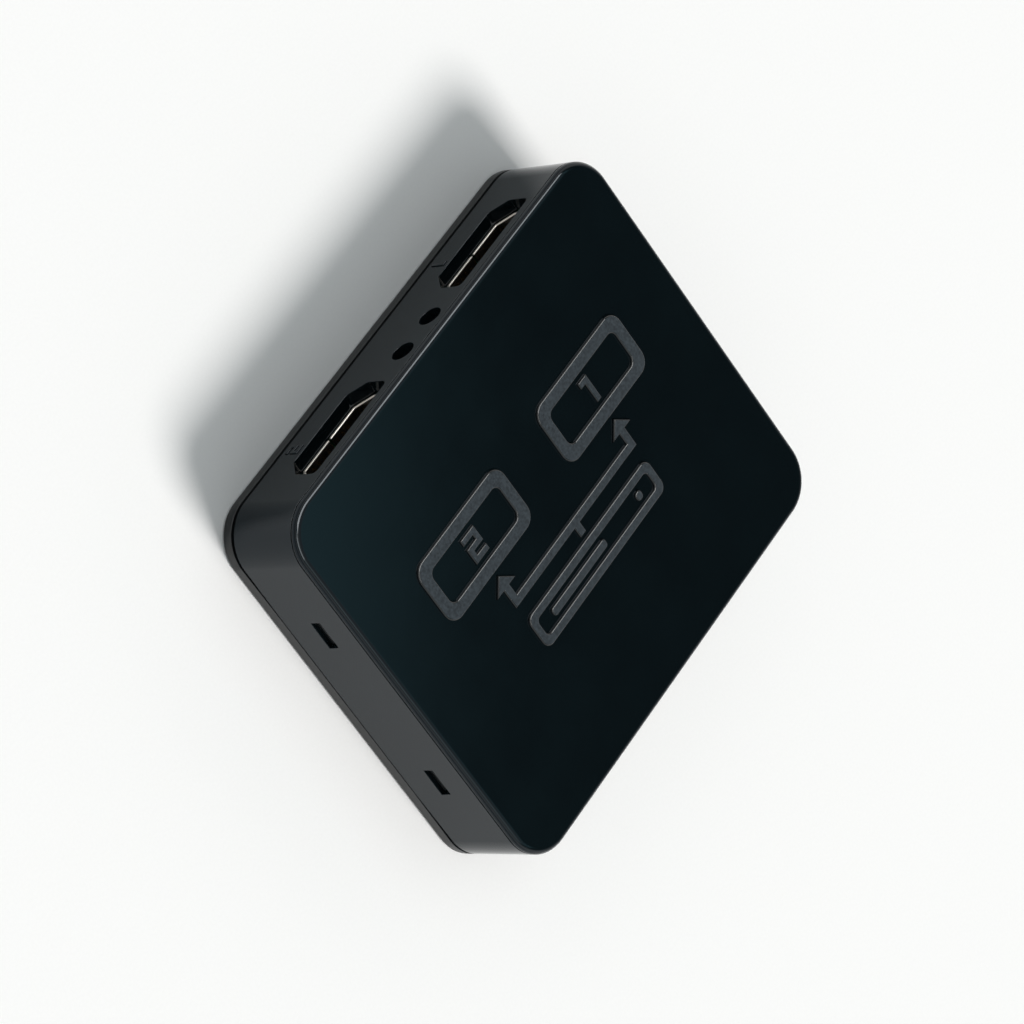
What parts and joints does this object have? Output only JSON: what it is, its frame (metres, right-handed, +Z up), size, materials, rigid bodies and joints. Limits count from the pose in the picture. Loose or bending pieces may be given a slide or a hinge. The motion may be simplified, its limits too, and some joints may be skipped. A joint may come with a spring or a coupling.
{
  "type": "hdmi splitter",
  "caption": "Small flat black video splitter box with rounded corners, paired output sockets on one wall, an input and a power inlet opposite, and a snap-fit bottom cover.",
  "frame": {"origin": "middle of the underside, on the surface that the box lies on", "axes": "+Z up out of the top face, +Y out of the wall with the two outputs, +X along that wall"},
  "size_m": [0.065, 0.054, 0.0127],
  "materials": {
    "gloss_black_abs": "moulded, polished",
    "satin_black_abs": "moulded, satin",
    "black_lcp": "moulded, dull",
    "tin_plated_steel": "stamped and plated",
    "gold_plated_contacts": "stamped and plated",
    "green_laminate": "solder mask over glass laminate",
    "clear_epoxy": "cast, clear",
    "chip_epoxy": "transfer moulded, dull",
    "tinned_leads": "tin plated",
    "drawn_steel_can": "drawn and plated",
    "aluminium_can": "drawn",
    "tan_ceramic": "fired",
    "grey_ferrite": "pressed and fired"
  },
  "bodies": {
    "root": {"top_shell": "gloss_black_abs", "bottom_cover": "satin_black_abs", "circuit_board": "green_laminate", "indicator_lenses": "clear_epoxy", "indicator_leads": "tinned_leads", "splitter_chip": "chip_epoxy", "splitter_chip_leads": "tinned_leads", "memory_chips": "chip_epoxy", "memory_chip_leads": "tinned_leads", "regulator_body": "chip_epoxy", "regulator_leads": "tinned_leads", "crystal_can": "drawn_steel_can", "crystal_base": "black_lcp", "capacitor_cans": "aluminium_can", "capacitor_bases": "black_lcp", "power_coil": "grey_ferrite", "surge_arrays": "chip_epoxy", "chip_capacitors": "tan_ceramic", "chip_resistors": "chip_epoxy", "chip_terminals": "tinned_leads", "output_1_shell": "tin_plated_steel", "output_1_insulator": "black_lcp", "output_1_contacts": "gold_plated_contacts", "output_2_shell": "tin_plated_steel", "output_2_insulator": "black_lcp", "output_2_contacts": "gold_plated_contacts", "input_shell": "tin_plated_steel", "input_insulator": "black_lcp", "input_contacts": "gold_plated_contacts", "power_shell": "tin_plated_steel", "power_insulator": "black_lcp", "power_contacts": "gold_plated_contacts"}
  },
  "joints": []
}
